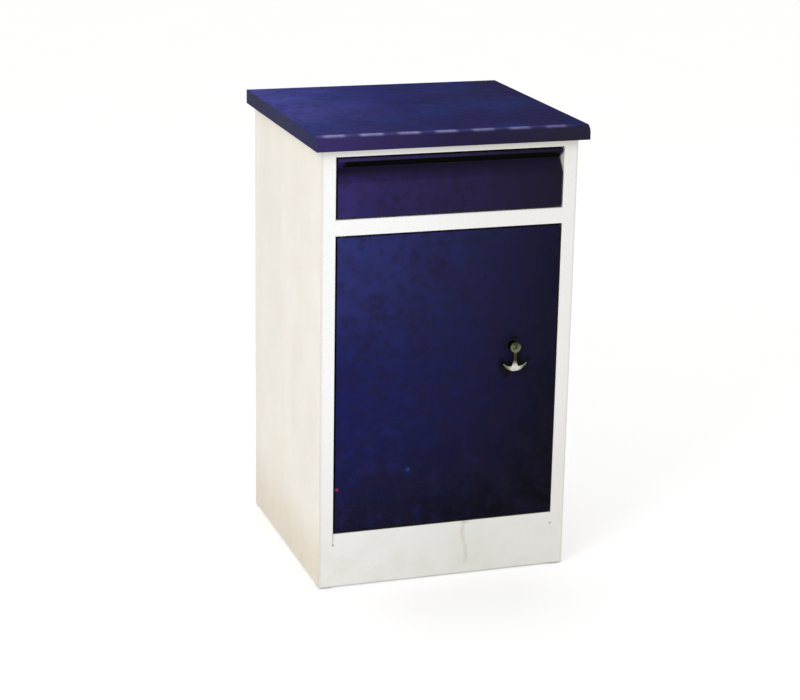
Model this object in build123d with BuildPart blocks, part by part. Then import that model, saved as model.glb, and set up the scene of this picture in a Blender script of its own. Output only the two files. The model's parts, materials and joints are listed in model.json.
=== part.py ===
from build123d import *
import os

# Bedside cabinet of folded sheet steel: one drawer over one cupboard, under a post-formed board top.
# Millimetres. +Z is up, the front faces -Y, and the origin is on the floor under the middle of the top.

# ---- overall size ----
total_width = 488.0
total_depth = 470.0
total_height = 812.0
side_overhang = 14.0
front_overhang = 18.0
back_overhang = 7.0
top_thickness = 25.0
foot_height = 3.0

# ---- sheet metal ----
sheet = 1.0
runner_sheet = 1.2
bend_radius = 1.5
gap = 3.0                           # round the drawer front and the door
running_gap = 0.05                  # radial, of a shaft in its bore

# ---- front frame ----
stile_width = 25.0
jamb_depth = 25.0                   # from the front face to the stop lip
lip_width = 10.0
plinth_top = 102.0
rail_bottom = 638.0
rail_top = 666.0
drawer_opening_top = 773.5
rail_flange = 23.0
back_flange = 20.0
panel_flange = 20.0                 # along the side panels' top and bottom edges

half_width = total_width / 2 - side_overhang
front = front_overhang - total_depth / 2
back = total_depth / 2 - back_overhang
body_top = total_height - top_thickness
opening = half_width - stile_width
inner_side = half_width - sheet
inner_back = back - 2 * sheet
lip_front = front + jamb_depth
lip_back = lip_front + sheet
lip_edge = opening - lip_width
tongue_edge = lip_edge - sheet      # tongues pass between the stop lips
back_flange_edge = inner_side - panel_flange - sheet

# ---- top ----
laminate = 1.0
nose_radius = 14.0
screw_radius = 2.0
screw_head_radius = 4.0
screw_head_height = 2.0
top_screw_depth = 14.0
top_screw_x = inner_side - panel_flange / 2
top_screw_rows = (-150.0, 10.0, 170.0)

# ---- feet ----
plate_thickness = 2.0
plate_length = 68.0
foot_inset = 37.0
foot_radius = 12.0
foot_stem_radius = 3.0
foot_barb_radius = 4.5
foot_barb_height = 2.0

# ---- cupboard ----
floor_flange = 15.0
divider_flange = 10.0
shelf_top = 370.0
shelf_flange = 15.0
shelf_setback = 60.0
shelf_play = 1.0
clip_width = 20.0
clip_length = 14.0
clip_rows = (-100.0, 150.0)

# ---- drawer ----
grip_lip_height = 5.0
grip_depth = 18.0
grip_apex_drop = 18.5
grip_height = 42.0
grip_clearance = 3.5                # between the grip's fold and the inner front
tray_half = 179.0
tray_length = 378.0
tray_bottom = 680.0
tray_top = 752.0
tray_hem = 6.0
tray_back_top = 745.0
drawer_rivet_rows = (-160.0, -20.0, 120.0)
drawer_rivet_z = 704.0

# ---- runners ----
roller_radius = 9.0
roller_width = 7.8
roller_edge = 0.6
roller_play = 0.1
axle_radius = 2.5
axle_head_radius = 4.0
axle_head_length = 0.8
channel_bottom = 684.0
channel_inside = 19.2
channel_web = 197.2
channel_edge = 184.0
channel_length = 390.0
channel_setback = 2.0
member_edge = 193.0
member_bottom = 686.0
member_flange_under = 714.0
member_length = 370.0
front_roller_inset = 11.0
rear_roller_inset = 20.0
rivet_radius = 1.6
rivet_head_radius = 3.0
rivet_head_height = 0.9
carcass_rivet_rows = (-140.0, 10.0, 160.0)
carcass_rivet_z = 694.8
support_reach = 9.0

# ---- door ----
door_depth = 20.0
pivot_inset = 9.0                   # from the door's left edge
pivot_depth = 6.0                   # behind its face
pin_radius = 2.5
pin_head_radius = 4.4
pin_head_height = 2.0
pin_reach = 11.0
bush_radius = 4.5
bush_flange_radius = 5.4
bush_flange_height = 1.0
bush_length = 12.0

pivot_x = -opening + gap + pivot_inset
pivot_y = front + pivot_depth
tongue_front = pivot_y + 2 * pin_head_radius

# ---- handle and latch ----
handle_x = 120.5
handle_z = 423.5
hub_radius = 10.0
hub_length = 17.0
hub_round = 2.5
neck_radius = 6.0
neck_length = 7.0
handle_bush_radius = 8.0
handle_bush_flange_radius = 11.5
handle_bush_flange_height = 0.8
handle_play = 0.1
anchor_lift = 10.0
anchor_thickness = 6.5
anchor_half_width = 23.0
anchor_tip = 1.5
anchor_tip_drop = 30.0
anchor_drop = 44.0
crescent_height = 8.5
shank_top_half = 3.5
shank_foot_half = 7.0
plug_radius = 5.0
plug_length = 13.0
keyway_width = 1.4
keyway_height = 6.0
keyway_depth = 6.0
spindle = 6.0
spindle_hole_radius = 7.0
stub_radius = 2.9
stub_length = 8.0
tongue_distance = 28.0              # from the door's face to the tongue
tongue_thickness = 2.5
tongue_length = 84.0
tongue_half = 9.0
nut_radius = 5.8
nut_height = 5.0

# ---- catch and buffers ----
catch_x = 150.0
catch_half = 22.0
catch_height = 14.0
catch_depth = 16.0
catch_margin = 4.0
catch_plate_thickness = 1.2
catch_plate_margin = 7.0
catch_gap = 0.3
catch_rivet_columns = (catch_x - 14.0, catch_x + 14.0)
catch_rivet_z = 612.0
buffer_radius = 3.5
door_buffer_levels = (160.0, 580.0)
drawer_buffer_levels = (686.0, 750.0)

catch_front = front + door_depth + catch_plate_thickness + catch_gap


def block(low, high, mode=Mode.ADD):
    """A rectangular block between two corners."""
    middle = tuple((a + b) / 2 for a, b in zip(low, high))
    size = tuple(b - a for a, b in zip(low, high))
    with Locations(middle):
        Box(*size, mode=mode)


def sheet_section(points, thickness=sheet, metal=Side.LEFT, radius=bend_radius):
    """Section of a folded sheet: its face follows the points, and its metal lies on the given side."""
    with BuildSketch() as section:
        with BuildLine():
            FilletPolyline(*points, radius=radius)
            offset(amount=thickness, side=metal)
        make_face()
    return section.sketch


def turned(steps):
    """A turned piece along +Z from (radius, length) steps."""
    with BuildPart() as piece:
        height = 0.0
        for radius, length in steps:
            with BuildSketch(Plane.XY.offset(height)):
                Circle(radius)
            extrude(amount=length)
            height += length
    return piece.part


def rivet(grip):
    """A rivet along +Z: its shank fills the grip above z = 0, and a head closes each end."""
    with BuildPart() as piece:
        with Locations((0, 0, -rivet_head_height)):
            add(turned([
                (rivet_head_radius, rivet_head_height),
                (rivet_radius, grip),
                (rivet_head_radius, rivet_head_height),
            ]))
        rims = piece.edges().filter_by(GeomType.CIRCLE).sort_by(Axis.Z)
        fillet([rims[0], rims[-1]], radius=rivet_head_height / 2)
    return piece.part


# ---------------------------------------------------------------- carcass

side_points = [
    (-half_width + back_flange, back),
    (-half_width, back),
    (-half_width, front),
    (-opening, front),
    (-opening, lip_front),
    (-lip_edge, lip_front),
]

with BuildPart() as left_side_panel:
    with BuildSketch(Plane.XY.offset(foot_height)):
        add(sheet_section(side_points))
    extrude(amount=body_top - foot_height)
    for level in (foot_height, body_top - sheet):
        block(
            (-inner_side, lip_back + sheet, level),
            (-inner_side + panel_flange, back - back_flange, level + sheet),
        )
    with Locations(*[(-top_screw_x, y, body_top) for y in top_screw_rows]):
        Hole(screw_radius, depth=sheet)

with BuildPart() as right_side_panel:
    mirror(left_side_panel.part, about=Plane.YZ)

back_points = [
    (inner_back - back_flange, body_top),
    (inner_back + sheet, body_top),
    (inner_back + sheet, foot_height),
    (inner_back - back_flange, foot_height),
]

with BuildPart() as back_panel:
    with BuildSketch(Plane.YZ):
        add(sheet_section(back_points, metal=Side.RIGHT))
    extrude(amount=back_flange_edge, both=True)
    block(
        (-inner_side + bend_radius, inner_back, foot_height + bend_radius),
        (inner_side - bend_radius, inner_back + sheet, body_top - bend_radius),
    )


def rail_section(top, bottom):
    """Section of a channel rail behind the front face, open to the rear."""
    rear = front + rail_flange
    return sheet_section([(rear, top), (front, top), (front, bottom), (rear, bottom)])


with BuildPart() as plinth_panel:
    with BuildSketch(Plane.YZ):
        add(rail_section(plinth_top, foot_height))
    extrude(amount=opening, both=True)
    with Locations((pivot_x, pivot_y, plinth_top)):
        Hole(pin_radius, depth=sheet)

with BuildPart() as mid_rail:
    with BuildSketch(Plane.YZ):
        add(rail_section(rail_top, rail_bottom))
    extrude(amount=opening, both=True)
    block(
        (-tongue_edge, front + rail_flange - sheet, rail_bottom),
        (tongue_edge, catch_front + catch_depth + catch_margin, rail_bottom + sheet),
    )
    with Locations((pivot_x, pivot_y, rail_bottom + sheet)):
        Hole(pin_radius, depth=sheet)
    with Locations(*[(x, catch_front + catch_depth / 2, rail_bottom + sheet) for x in catch_rivet_columns]):
        Hole(rivet_radius, depth=sheet)

with BuildPart() as top_rail:
    with BuildSketch(Plane.YZ):
        add(rail_section(body_top, drawer_opening_top))
    extrude(amount=opening, both=True)


def level_panel(top, flange_low, flange_high):
    """A level panel behind the stop lips, with a tongue under the rail and a flange along each side."""
    with BuildPart() as panel:
        block((-inner_side, lip_back, top - sheet), (inner_side, inner_back, top))
        block((-tongue_edge, tongue_front, top - sheet), (tongue_edge, lip_back, top))
        for low_x in (-inner_side, inner_side - sheet):
            block((low_x, lip_back + sheet, flange_low), (low_x + sheet, back - back_flange, flange_high))
    return panel


floor_top = plinth_top - sheet
divider_top = rail_top - sheet
cupboard_floor = level_panel(floor_top, floor_top - floor_flange, floor_top)
divider_panel = level_panel(divider_top, divider_top - sheet, divider_top + divider_flange)

with BuildPart() as inner_shelf:
    block(
        (-inner_side + shelf_play, front + shelf_setback, shelf_top - shelf_flange),
        (inner_side - shelf_play, inner_back - shelf_play, shelf_top),
    )
    fillet(inner_shelf.edges().filter_by(Axis.X).group_by(Axis.Z)[-1], radius=bend_radius)
    offset(amount=-sheet, openings=inner_shelf.faces().sort_by(Axis.Z)[0])

clip_top = shelf_top - shelf_flange
clip_points = [
    (-inner_side, clip_top - clip_length),
    (-inner_side, clip_top),
    (-inner_side + clip_length, clip_top),
]

with BuildPart() as shelf_clips:
    for y in clip_rows:
        with BuildSketch(Plane.XZ.offset(-y)):
            add(sheet_section(clip_points, runner_sheet, Side.RIGHT))
        extrude(amount=clip_width)
    mirror(shelf_clips.part, about=Plane.YZ)

# ---------------------------------------------------------------- feet and the plates that hold them

foot_plates = {}
rubber_feet = {}
for row, edge, inward in (("front", lip_back + sheet, 1), ("rear", back - back_flange, -1)):
    for hand, side in (("left", -1), ("right", 1)):
        corner_x = side * inner_side
        foot_centre = (corner_x - side * foot_inset, edge + inward * foot_inset / 2)
        with BuildPart() as plate:
            with BuildSketch(Plane.XY.offset(foot_height + sheet)):
                with BuildLine():
                    Polyline(
                        (corner_x, edge),
                        (corner_x - side * plate_length, edge),
                        (corner_x - side * plate_length, edge + inward * foot_inset),
                        (corner_x - side * panel_flange, edge + inward * plate_length),
                        (corner_x, edge + inward * plate_length),
                        close=True,
                    )
                make_face()
                with Locations(foot_centre):
                    Circle(foot_stem_radius, mode=Mode.SUBTRACT)
            extrude(amount=plate_thickness)
        foot_plates[f"foot_plate_{row}_{hand}"] = plate
        with BuildPart() as foot:
            with Locations((*foot_centre, 0)):
                add(turned([
                    (foot_radius, foot_height + sheet),
                    (foot_stem_radius, plate_thickness),
                    (foot_barb_radius, foot_barb_height),
                ]))
            fillet(foot.edges().filter_by(GeomType.CIRCLE).sort_by(Axis.Z)[0], radius=sheet)
        rubber_feet[f"rubber_foot_{row}_{hand}"] = foot

# ---------------------------------------------------------------- top

board_edge = total_width / 2 - laminate
top_front = -total_depth / 2
top_back = total_depth / 2


def slab_section(front_edge, rear_edge, upper, radius):
    """Section of the top, with its rounded upper front edge."""
    with BuildSketch() as section:
        with BuildLine():
            Polyline(
                (front_edge + radius, upper),
                (rear_edge, upper),
                (rear_edge, body_top),
                (front_edge, body_top),
                (front_edge, upper - radius),
            )
            RadiusArc((front_edge, upper - radius), (front_edge + radius, upper), radius)
        make_face()
    return section.sketch


with BuildPart() as top_board:
    with BuildSketch(Plane.YZ):
        add(slab_section(
            top_front + laminate, top_back - laminate, total_height - laminate, nose_radius - laminate
        ))
    extrude(amount=board_edge, both=True)
    for side in (-1, 1):
        with Locations(*[(side * top_screw_x, y, body_top + top_screw_depth) for y in top_screw_rows]):
            Hole(screw_radius, depth=top_screw_depth)

with BuildPart() as top_laminate:
    with BuildSketch(Plane.YZ):
        add(sheet_section(
            [(top_back - laminate, total_height), (top_front, total_height), (top_front, body_top)],
            laminate, radius=nose_radius,
        ))
    extrude(amount=board_edge, both=True)

with BuildPart() as top_edge_band_left:
    with BuildSketch(Plane.YZ.offset(-total_width / 2)):
        add(slab_section(top_front, top_back, total_height, nose_radius))
    extrude(amount=laminate)

with BuildPart() as top_edge_band_right:
    mirror(top_edge_band_left.part, about=Plane.YZ)

with BuildPart() as top_edge_band_back:
    block((-board_edge, top_back - laminate, body_top), (board_edge, top_back, total_height))

with BuildPart() as top_screws:
    with Locations(*[
        (side * top_screw_x, y, body_top - sheet - screw_head_height)
        for side in (-1, 1) for y in top_screw_rows
    ]):
        add(turned([(screw_head_radius, screw_head_height), (screw_radius, sheet + top_screw_depth)]))

# ---------------------------------------------------------------- drawer

drawer_top = drawer_opening_top - gap
drawer_bottom = rail_top + gap
drawer_half = opening - gap
drawer_rear = front + grip_depth + grip_clearance
tray_front = drawer_rear + sheet
tray_back = tray_front + tray_length

drawer_points = [
    (drawer_rear, drawer_top),
    (front, drawer_top),
    (front, drawer_top - grip_lip_height),
    (front + grip_depth, drawer_top - grip_apex_drop),
    (front, drawer_top - grip_height),
    (front, drawer_bottom),
    (drawer_rear, drawer_bottom),
]

with BuildPart() as drawer_front:
    with BuildSketch(Plane.YZ):
        add(sheet_section(drawer_points))
    extrude(amount=drawer_half, both=True)
    for end in (-drawer_half, drawer_half - sheet):
        with BuildSketch(Plane.YZ.offset(end)):
            with BuildLine():
                FilletPolyline(*drawer_points, radius=bend_radius)
                Line(drawer_points[-1], drawer_points[0])
            make_face()
        extrude(amount=sheet)

with BuildPart() as drawer_inner_front:
    block(
        (-drawer_half + sheet, drawer_rear, drawer_bottom + sheet),
        (drawer_half - sheet, tray_front, drawer_top - sheet),
    )

tray_points = [
    (-tray_half + tray_hem, tray_top),
    (-tray_half, tray_top),
    (-tray_half, tray_bottom),
    (tray_half, tray_bottom),
    (tray_half, tray_top),
    (tray_half - tray_hem, tray_top),
]

with BuildPart() as drawer_tray:
    with BuildSketch(Plane.XZ.offset(-tray_back)):
        add(sheet_section(tray_points))
    extrude(amount=tray_length)
    with BuildSketch(Plane.YZ):
        with Locations(*[(y, drawer_rivet_z) for y in drawer_rivet_rows]):
            Circle(rivet_radius)
    extrude(amount=tray_half, both=True, mode=Mode.SUBTRACT)

tray_inside = tray_half - sheet
wall_points = [
    (tray_inside, tray_back - back_flange),
    (tray_inside, tray_back),
    (-tray_inside, tray_back),
    (-tray_inside, tray_back - back_flange),
]

with BuildPart() as drawer_back_wall:
    with BuildSketch(Plane.XY.offset(tray_bottom + bend_radius)):
        add(sheet_section(wall_points))
    extrude(amount=tray_back_top - tray_bottom - bend_radius)

member_top = member_flange_under + runner_sheet
member_points = [(-tray_half, member_bottom), (-tray_half, member_top), (-member_edge, member_top)]

with BuildPart() as drawer_runner_left:
    with BuildSketch(Plane.XZ.offset(-(tray_front + member_length))):
        add(sheet_section(member_points, runner_sheet))
    extrude(amount=member_length)
    with BuildSketch(Plane.YZ.offset(-tray_half)):
        with Locations(*[(y, drawer_rivet_z) for y in drawer_rivet_rows]):
            Circle(rivet_radius)
    extrude(amount=-runner_sheet, mode=Mode.SUBTRACT)

with BuildPart() as drawer_runner_right:
    mirror(drawer_runner_left.part, about=Plane.YZ)

with BuildPart() as drawer_rivets:
    with Locations(*[Location((-tray_inside, y, drawer_rivet_z), (0, -90, 0)) for y in drawer_rivet_rows]):
        add(rivet(sheet + runner_sheet))
    mirror(drawer_rivets.part, about=Plane.YZ)

# ---------------------------------------------------------------- runners in the carcass

channel_top = channel_bottom + channel_inside + 2 * runner_sheet
channel_front = lip_back + channel_setback
channel_back = channel_front + channel_length
web_inside = channel_web - runner_sheet
channel_points = [
    (-channel_edge, channel_top),
    (-channel_web, channel_top),
    (-channel_web, channel_bottom),
    (-channel_edge, channel_bottom),
]
front_roller_y = channel_front + front_roller_inset
front_roller_z = member_flange_under - running_gap - roller_radius
rear_roller_y = tray_front + member_length - rear_roller_inset
rear_roller_z = channel_bottom + runner_sheet + running_gap + roller_radius
ear_back = front_roller_y + front_roller_inset

with BuildPart() as cabinet_runner_left:
    with BuildSketch(Plane.XZ.offset(-channel_back)):
        add(sheet_section(channel_points, runner_sheet))
    extrude(amount=channel_length)
    block(
        (-web_inside, channel_front, channel_top - 2 * runner_sheet),
        (-channel_edge, ear_back, channel_top),
        mode=Mode.SUBTRACT,
    )
    block(
        (-channel_web, channel_front, channel_top - roller_radius),
        (-web_inside, ear_back, front_roller_z + roller_radius - runner_sheet),
    )
    block((-web_inside, channel_back - runner_sheet, channel_bottom + runner_sheet),
          (-channel_edge, channel_back, channel_top - runner_sheet))
    with BuildSketch(Plane.YZ.offset(-channel_web)):
        with Locations(*[(y, carcass_rivet_z) for y in carcass_rivet_rows]):
            Circle(rivet_radius)
    extrude(amount=runner_sheet, mode=Mode.SUBTRACT)

support_points = [
    (-inner_side, carcass_rivet_z + support_reach),
    (-inner_side, channel_bottom),
    (-channel_web, channel_bottom),
    (-channel_web, carcass_rivet_z + support_reach),
]

with BuildPart() as runner_support_left:
    with BuildSketch(Plane.XZ.offset(-(back - back_flange))):
        add(sheet_section(support_points, runner_sheet))
    extrude(amount=back - back_flange - channel_front)
    with BuildSketch(Plane.YZ.offset(-channel_web)):
        with Locations(*[(y, carcass_rivet_z) for y in carcass_rivet_rows]):
            Circle(rivet_radius)
    extrude(amount=-runner_sheet, mode=Mode.SUBTRACT)

with BuildPart() as cabinet_runner_right:
    mirror(cabinet_runner_left.part, about=Plane.YZ)

with BuildPart() as runner_support_right:
    mirror(runner_support_left.part, about=Plane.YZ)

with BuildPart() as carcass_rivets:
    with Locations(*[Location((-web_inside, y, carcass_rivet_z), (0, -90, 0)) for y in carcass_rivet_rows]):
        add(rivet(2 * runner_sheet))
    mirror(carcass_rivets.part, about=Plane.YZ)


def roller(inner_x, y, z):
    """A roller on an axle along X, its inner face at the given X on the left-hand side."""
    with BuildPart() as wheel:
        with BuildSketch(Plane.YZ.offset(inner_x)):
            with Locations((y, z)):
                Circle(roller_radius)
                Circle(axle_radius + running_gap, mode=Mode.SUBTRACT)
        extrude(amount=-roller_width)
        rims = wheel.edges().filter_by(GeomType.CIRCLE).sort_by(SortBy.RADIUS)[-2:]
        fillet(rims, radius=roller_edge)
    return wheel


def axle(collar):
    """A headed axle along +Z: collar, roller seat, head."""
    return turned([
        (axle_head_radius, collar),
        (axle_radius, roller_width + 2 * roller_play),
        (axle_head_radius, axle_head_length),
    ])


member_outside = tray_half + runner_sheet
rear_collar = channel_edge + roller_play - member_outside + axle_head_length / 2
front_collar = axle_head_length

front_roller_left = roller(
    -(web_inside - front_collar - roller_play) + roller_width, front_roller_y, front_roller_z
)
rear_roller_left = roller(-(member_outside + rear_collar + roller_play), rear_roller_y, rear_roller_z)

with BuildPart() as front_roller_right:
    mirror(front_roller_left.part, about=Plane.YZ)

with BuildPart() as rear_roller_right:
    mirror(rear_roller_left.part, about=Plane.YZ)

with BuildPart() as front_roller_axles:
    with Locations(Location((-web_inside, front_roller_y, front_roller_z), (0, 90, 0))):
        add(axle(front_collar))
    mirror(front_roller_axles.part, about=Plane.YZ)

with BuildPart() as rear_roller_axles:
    with Locations(Location((-member_outside, rear_roller_y, rear_roller_z), (0, -90, 0))):
        add(axle(rear_collar))
    mirror(rear_roller_axles.part, about=Plane.YZ)

# ---------------------------------------------------------------- door

door_half = opening - gap
door_bottom = plinth_top + gap
door_top = rail_bottom - gap
door_rear = front + door_depth

with BuildPart() as door_skin:
    block((-door_half, front, door_bottom), (door_half, door_rear, door_top))
    fillet(door_skin.faces().sort_by(Axis.Y)[0].edges(), radius=bend_radius)
    offset(amount=-sheet, openings=door_skin.faces().sort_by(Axis.Y)[-1])
    with BuildSketch(Plane.XZ.offset(-front)):
        with Locations((handle_x, handle_z)):
            Circle(handle_bush_radius)
    extrude(amount=-sheet, mode=Mode.SUBTRACT)
    with Locations((pivot_x, pivot_y, door_top), (pivot_x, pivot_y, door_bottom + sheet)):
        Hole(bush_radius, depth=sheet)

with BuildPart() as door_inner_panel:
    block(
        (-door_half + sheet, door_rear - sheet, door_bottom + sheet),
        (door_half - sheet, door_rear, door_top - sheet),
    )
    with BuildSketch(Plane.XZ.offset(-door_rear)):
        with Locations((handle_x, handle_z)):
            Circle(spindle_hole_radius)
        with Locations(*[(x, catch_rivet_z) for x in catch_rivet_columns]):
            Circle(rivet_radius)
    extrude(amount=sheet, mode=Mode.SUBTRACT)


def pivot_bush(turn, level):
    """A flanged bush on the door's pivot axis, its flange outside the door's edge."""
    with BuildPart() as bush:
        with Locations(Location((pivot_x, pivot_y, level), (turn, 0, 0))):
            add(turned([(bush_flange_radius, bush_flange_height), (bush_radius, bush_length)]))
        with Locations((pivot_x, pivot_y, level)):
            Cylinder(pin_radius + running_gap, 3 * bush_length, mode=Mode.SUBTRACT)
    return bush


def pivot_pin(turn, level):
    """A headed pin that hangs in a rail's flange and reaches into the door's bush."""
    with BuildPart() as pin:
        with Locations(Location((pivot_x, pivot_y, level), (turn, 0, 0))):
            add(turned([(pin_head_radius, pin_head_height), (pin_radius, sheet + gap + pin_reach)]))
    return pin


door_bush_bottom = pivot_bush(0, door_bottom - bush_flange_height)
door_bush_top = pivot_bush(180, door_top + bush_flange_height)
door_pin_bottom = pivot_pin(0, plinth_top - sheet - pin_head_height)
door_pin_top = pivot_pin(180, rail_bottom + sheet + pin_head_height)

with BuildPart() as thrust_washer:
    with BuildSketch(Plane.XY.offset(plinth_top)):
        with Locations((pivot_x, pivot_y)):
            Circle(bush_flange_radius)
            Circle(pin_radius + running_gap, mode=Mode.SUBTRACT)
    extrude(amount=gap - bush_flange_height)

# ---------------------------------------------------------------- handle, lock and latch

hub_front = front - hub_length
bush_face = front - handle_bush_flange_height


def handle_plane(y):
    """A plane across the handle's axis that faces the front."""
    return Plane(origin=(handle_x, y, handle_z), x_dir=(1, 0, 0), z_dir=(0, -1, 0))


with BuildPart() as handle_bush:
    with BuildSketch(handle_plane(front)):
        Circle(handle_bush_flange_radius)
    extrude(amount=handle_bush_flange_height)
    with BuildSketch(handle_plane(front)):
        Circle(handle_bush_radius)
    extrude(amount=-neck_length)
    with BuildSketch(handle_plane(bush_face)):
        Circle(neck_radius + running_gap)
    extrude(amount=-neck_length - handle_bush_flange_height, mode=Mode.SUBTRACT)

with BuildPart() as anchor_handle:
    with BuildSketch(handle_plane(bush_face - handle_play)):
        Circle(hub_radius)
    extrude(amount=bush_face - handle_play - hub_front)
    fillet(anchor_handle.edges().filter_by(GeomType.CIRCLE).sort_by(Axis.Y)[0], radius=hub_round)
    with BuildSketch(handle_plane(front - anchor_lift)):
        with BuildLine():
            ThreePointArc(
                (-anchor_half_width, -anchor_tip_drop), (0, -anchor_drop), (anchor_half_width, -anchor_tip_drop)
            )
            Line(
                (anchor_half_width, -anchor_tip_drop),
                (anchor_half_width - anchor_tip, -anchor_tip_drop + anchor_tip / 2),
            )
            ThreePointArc(
                (anchor_half_width - anchor_tip, -anchor_tip_drop + anchor_tip / 2),
                (0, -anchor_drop + crescent_height),
                (-anchor_half_width + anchor_tip, -anchor_tip_drop + anchor_tip / 2),
            )
            Line(
                (-anchor_half_width + anchor_tip, -anchor_tip_drop + anchor_tip / 2),
                (-anchor_half_width, -anchor_tip_drop),
            )
        make_face()
        with BuildLine():
            Polyline(
                (-shank_top_half, 0),
                (shank_top_half, 0),
                (shank_foot_half, -anchor_drop + crescent_height / 2),
                (-shank_foot_half, -anchor_drop + crescent_height / 2),
                close=True,
            )
        make_face()
    extrude(amount=anchor_thickness)
    with BuildSketch(handle_plane(front + neck_length)):
        Circle(neck_radius)
    extrude(amount=neck_length + handle_bush_flange_height + handle_play)
    with BuildSketch(handle_plane(hub_front)):
        Circle(plug_radius + running_gap)
    extrude(amount=-plug_length - handle_play, mode=Mode.SUBTRACT)
    with BuildSketch(handle_plane(front + neck_length)):
        Rectangle(spindle, spindle)
    extrude(amount=neck_length - sheet, mode=Mode.SUBTRACT)

with BuildPart() as lock_plug:
    with BuildSketch(handle_plane(hub_front)):
        Circle(plug_radius)
    extrude(amount=-plug_length)
    with BuildSketch(handle_plane(hub_front)):
        Rectangle(keyway_width, keyway_height)
    extrude(amount=-keyway_depth, mode=Mode.SUBTRACT)

tongue_front_y = front + tongue_distance
tongue_rear_y = tongue_front_y + tongue_thickness

with BuildPart() as handle_spindle:
    with BuildSketch(handle_plane(front + sheet)):
        Rectangle(spindle, spindle)
    extrude(amount=-(tongue_rear_y - front - sheet))
    with BuildSketch(handle_plane(tongue_rear_y)):
        Circle(stub_radius)
    extrude(amount=-stub_length)

with BuildPart() as latch_tongue:
    with BuildSketch(handle_plane(tongue_rear_y)):
        Circle(tongue_half)
        with Locations((0, -(tongue_length - tongue_half) / 2)):
            Rectangle(2 * tongue_half, tongue_length - tongue_half)
        with Locations((0, -(tongue_length - tongue_half))):
            Circle(tongue_half)
        Rectangle(spindle, spindle, mode=Mode.SUBTRACT)
    extrude(amount=tongue_thickness)

with BuildPart() as tongue_nut:
    with BuildSketch(handle_plane(tongue_rear_y)):
        RegularPolygon(nut_radius, 6)
        Circle(stub_radius, mode=Mode.SUBTRACT)
    extrude(amount=-nut_height)

# ---------------------------------------------------------------- catch and buffers

with BuildPart() as magnetic_catch:
    block(
        (catch_x - catch_half, catch_front, rail_bottom - catch_height),
        (catch_x + catch_half, catch_front + catch_depth, rail_bottom),
    )
    fillet(magnetic_catch.edges().filter_by(Axis.Z), radius=bend_radius)
    with Locations(*[(x, catch_front + catch_depth / 2, rail_bottom) for x in catch_rivet_columns]):
        Hole(rivet_radius, depth=catch_height)

with BuildPart() as catch_rivets:
    with Locations(*[
        (x, catch_front + catch_depth / 2, rail_bottom - catch_height) for x in catch_rivet_columns
    ]):
        add(rivet(catch_height + sheet))

with BuildPart() as catch_plate:
    block(
        (catch_x - catch_half, door_rear, catch_rivet_z - catch_plate_margin),
        (catch_x + catch_half, door_rear + catch_plate_thickness, door_top - sheet),
    )
    with BuildSketch(Plane.XZ.offset(-door_rear)):
        with Locations(*[(x, catch_rivet_z) for x in catch_rivet_columns]):
            Circle(rivet_radius)
    extrude(amount=-catch_plate_thickness, mode=Mode.SUBTRACT)

with BuildPart() as catch_plate_rivets:
    with Locations(*[Location((x, door_rear - sheet, catch_rivet_z), (-90, 0, 0)) for x in catch_rivet_columns]):
        add(rivet(sheet + catch_plate_thickness))


buffer_x = (opening + lip_edge) / 2
buffer_places = [
    (door_rear, (1,), door_buffer_levels),
    (tray_front, (-1, 1), drawer_buffer_levels),
]

with BuildPart() as stop_buffers:
    for rear_of_front, sides, levels in buffer_places:
        with BuildSketch(Plane.XZ.offset(-lip_front)):
            with Locations(*[(side * buffer_x, z) for side in sides for z in levels]):
                Circle(buffer_radius)
        extrude(amount=lip_front - rear_of_front)

# ---------------------------------------------------------------- export

pieces = {
    "left_side_panel": left_side_panel,
    "right_side_panel": right_side_panel,
    "back_panel": back_panel,
    "plinth_panel": plinth_panel,
    "mid_rail": mid_rail,
    "top_rail": top_rail,
    "cupboard_floor": cupboard_floor,
    "divider_panel": divider_panel,
    "inner_shelf": inner_shelf,
    "shelf_clips": shelf_clips,
    **foot_plates,
    **rubber_feet,
    "top_board": top_board,
    "top_laminate": top_laminate,
    "top_edge_band_left": top_edge_band_left,
    "top_edge_band_right": top_edge_band_right,
    "top_edge_band_back": top_edge_band_back,
    "top_screws": top_screws,
    "drawer_front": drawer_front,
    "drawer_inner_front": drawer_inner_front,
    "drawer_tray": drawer_tray,
    "drawer_back_wall": drawer_back_wall,
    "drawer_runner_left": drawer_runner_left,
    "drawer_runner_right": drawer_runner_right,
    "drawer_rivets": drawer_rivets,
    "cabinet_runner_left": cabinet_runner_left,
    "cabinet_runner_right": cabinet_runner_right,
    "runner_support_left": runner_support_left,
    "runner_support_right": runner_support_right,
    "carcass_rivets": carcass_rivets,
    "front_roller_left": front_roller_left,
    "front_roller_right": front_roller_right,
    "rear_roller_left": rear_roller_left,
    "rear_roller_right": rear_roller_right,
    "front_roller_axles": front_roller_axles,
    "rear_roller_axles": rear_roller_axles,
    "door_skin": door_skin,
    "door_inner_panel": door_inner_panel,
    "door_bush_top": door_bush_top,
    "door_bush_bottom": door_bush_bottom,
    "door_pin_top": door_pin_top,
    "door_pin_bottom": door_pin_bottom,
    "thrust_washer": thrust_washer,
    "handle_bush": handle_bush,
    "anchor_handle": anchor_handle,
    "lock_plug": lock_plug,
    "handle_spindle": handle_spindle,
    "latch_tongue": latch_tongue,
    "tongue_nut": tongue_nut,
    "magnetic_catch": magnetic_catch,
    "catch_rivets": catch_rivets,
    "catch_plate": catch_plate,
    "catch_plate_rivets": catch_plate_rivets,
    "stop_buffers": stop_buffers,
}

os.makedirs("parts", exist_ok=True)
for label, piece in pieces.items():
    piece.part.label = label
    export_step(piece.part, f"parts/{label}.step")
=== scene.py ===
import json
import math

import bmesh
import bpy
from mathutils import Matrix, Vector


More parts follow.
